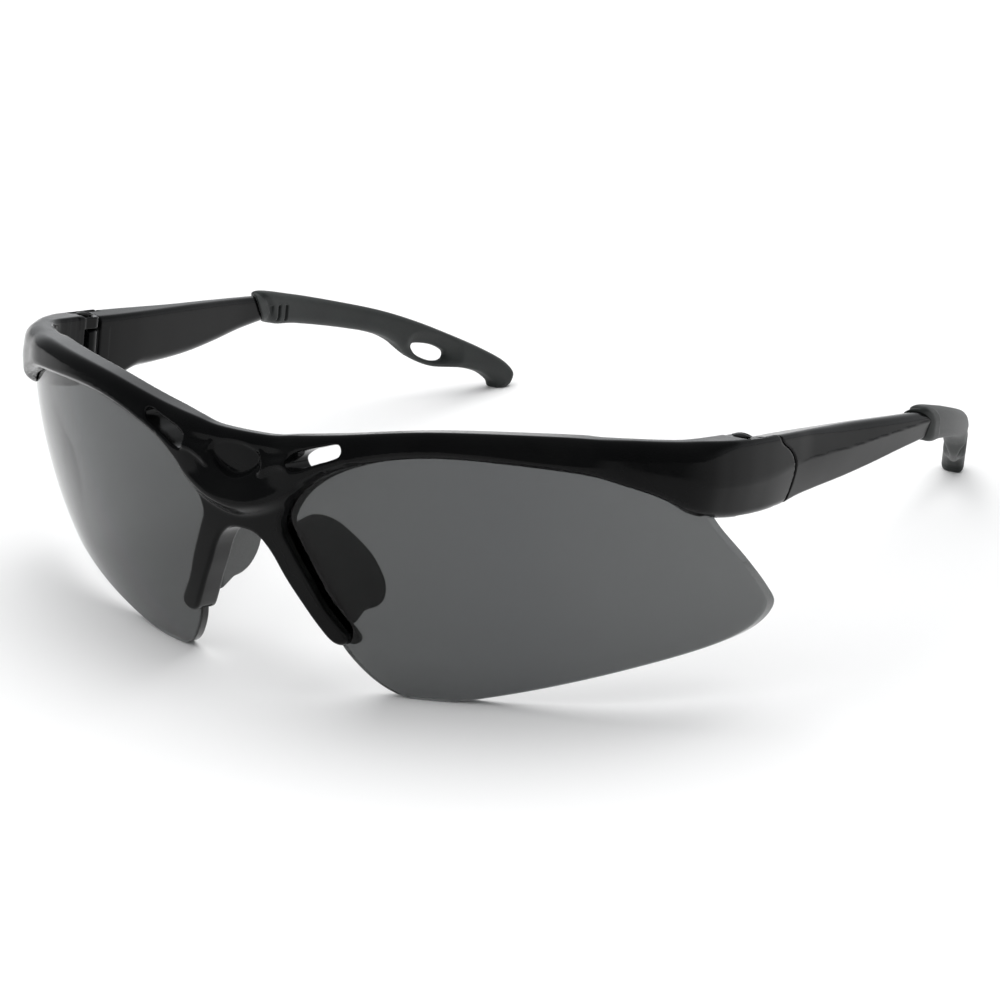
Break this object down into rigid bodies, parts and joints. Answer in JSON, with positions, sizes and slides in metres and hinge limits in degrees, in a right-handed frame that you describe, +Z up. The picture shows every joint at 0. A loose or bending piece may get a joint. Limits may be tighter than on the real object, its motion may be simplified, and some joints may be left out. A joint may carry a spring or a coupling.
{
  "type": "safety glasses",
  "caption": "Half-frame wrap-around safety glasses with smoke-tinted lenses, soft nose pads and folding temples that end in rubber tips.",
  "frame": {"origin": "on the surface that the open glasses rest on, under the centre of their bounding box", "axes": "+X to the wearer's left, +Y back from the lenses to the temple tips, +Z up; the glasses lie tilted as they rest, lens bottoms and temple tips on Z = 0"},
  "size_m": [0.1464, 0.1688, 0.0484],
  "materials": {
    "frame": "moulded black plastic, polished",
    "lens": "neutral smoke tint, polished, see-through",
    "rubber": "matt black soft-touch rubber",
    "screw": "small machined screw"
  },
  "bodies": {
    "front": {"front_frame": "frame", "lens_left": "lens", "lens_right": "lens", "nose_pad_left": "rubber", "nose_pad_right": "rubber", "hinge_screw_left": "screw", "hinge_screw_right": "screw"},
    "left_temple": {"temple_left": "frame", "temple_tip_left": "rubber"},
    "right_temple": {"temple_right": "frame", "temple_tip_right": "rubber"}
  },
  "joints": [
    {"name": "left_hinge", "type": "hinge", "parent": "front", "child": "left_temple", "pos_m": [0.0655, -0.03823, 0.04388], "axis": [0, 0.1815, 0.9834], "range_deg": [0, 84]},
    {"name": "right_hinge", "type": "hinge", "parent": "front", "child": "right_temple", "pos_m": [-0.0655, -0.03823, 0.04388], "axis": [0, -0.1815, -0.9834], "range_deg": [0, 71]}
  ]
}
